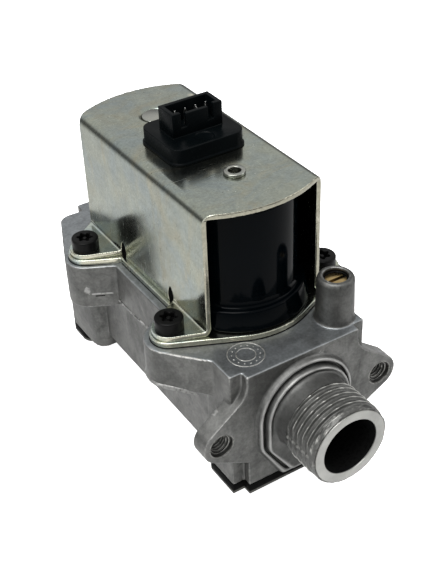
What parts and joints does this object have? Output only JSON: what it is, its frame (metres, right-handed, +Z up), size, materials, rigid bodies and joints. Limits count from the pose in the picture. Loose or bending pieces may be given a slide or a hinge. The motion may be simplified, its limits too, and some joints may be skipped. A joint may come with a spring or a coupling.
{
  "type": "gas valve",
  "caption": "Double solenoid gas valve: cast body with a threaded outlet in an eared oval flange, bent steel yoke over two coils, pin header and pressure test point.",
  "frame": {"origin": "centre of the bounding box in plan, at the bottom of the cover screws' heads", "axes": "+Z up, the outlet spigot towards -Y, the inlet towards +Y, the pressure test point on the +X side"},
  "size_m": [0.0572, 0.1068, 0.0826],
  "materials": {
    "cast_metal": "matt die-cast, blasted",
    "plated_sheet": "zinc plated with a faint yellow tint",
    "black_steel": "black, satin",
    "cover_steel": "plain plated",
    "coil_black": "glossy black moulding",
    "copper": "enamelled copper wire",
    "bobbin_nylon": "natural",
    "tube_brass": "drawn",
    "core_steel": "turned",
    "spring_steel": "drawn wire",
    "seal_rubber": "matt black",
    "connector_black": "satin black moulding",
    "pin_tin": "tinned",
    "screw_brass": "turned brass",
    "strainer_steel": "woven wire"
  },
  "bodies": {
    "valve": {"body": "cast_metal", "base_plate": "plated_sheet", "yoke": "plated_sheet", "yoke_screws": "black_steel", "coil_front": "coil_black", "coil_rear": "coil_black", "winding_front": "copper", "winding_rear": "copper", "bobbin_front": "bobbin_nylon", "bobbin_rear": "bobbin_nylon", "guide_tube_front": "tube_brass", "guide_tube_rear": "tube_brass", "core_front": "core_steel", "core_rear": "core_steel", "return_spring_front": "spring_steel", "return_spring_rear": "spring_steel", "chamber_seal_front": "seal_rubber", "chamber_seal_rear": "seal_rubber", "bottom_gasket": "seal_rubber", "bottom_cover": "cover_steel", "cover_screws": "cover_steel", "connector_base": "connector_black", "plug_shroud": "connector_black", "plug_pins": "pin_tin", "inlet_strainer": "strainer_steel"},
    "armature_front": {"plunger_front": "core_steel", "valve_disc_front": "core_steel", "disc_seal_front": "seal_rubber"},
    "armature_rear": {"plunger_rear": "core_steel", "valve_disc_rear": "core_steel", "disc_seal_rear": "seal_rubber"},
    "test_lift": {"test_seal": "seal_rubber"},
    "test_spindle": {"test_screw": "screw_brass"}
  },
  "joints": [
    {"name": "valve_lift_front", "type": "slide", "parent": "valve", "child": "armature_front", "axis": [0, 0, 1], "range_m": [0, 0.0019], "stiffness_N_per_m": 300, "springref_m": -0.004, "deforming": ["return_spring_front"]},
    {"name": "valve_lift_rear", "type": "slide", "parent": "valve", "child": "armature_rear", "axis": [0, 0, 1], "range_m": [0, 0.0019], "stiffness_N_per_m": 300, "springref_m": -0.004, "deforming": ["return_spring_rear"]},
    {"name": "test_screw_lift", "type": "slide", "parent": "valve", "child": "test_lift", "axis": [0, 0, 1], "range_m": [0, 0.0016]},
    {"name": "test_screw_turn", "type": "hinge", "parent": "test_lift", "child": "test_spindle", "pos_m": [0.014, -0.02838, 0.0457], "axis": [0, 0, 1], "range_deg": [0, 720]}
  ],
  "couplings": [
    {"joint": "test_screw_turn", "follows": "test_screw_lift", "rad_per_m": 7854}
  ]
}
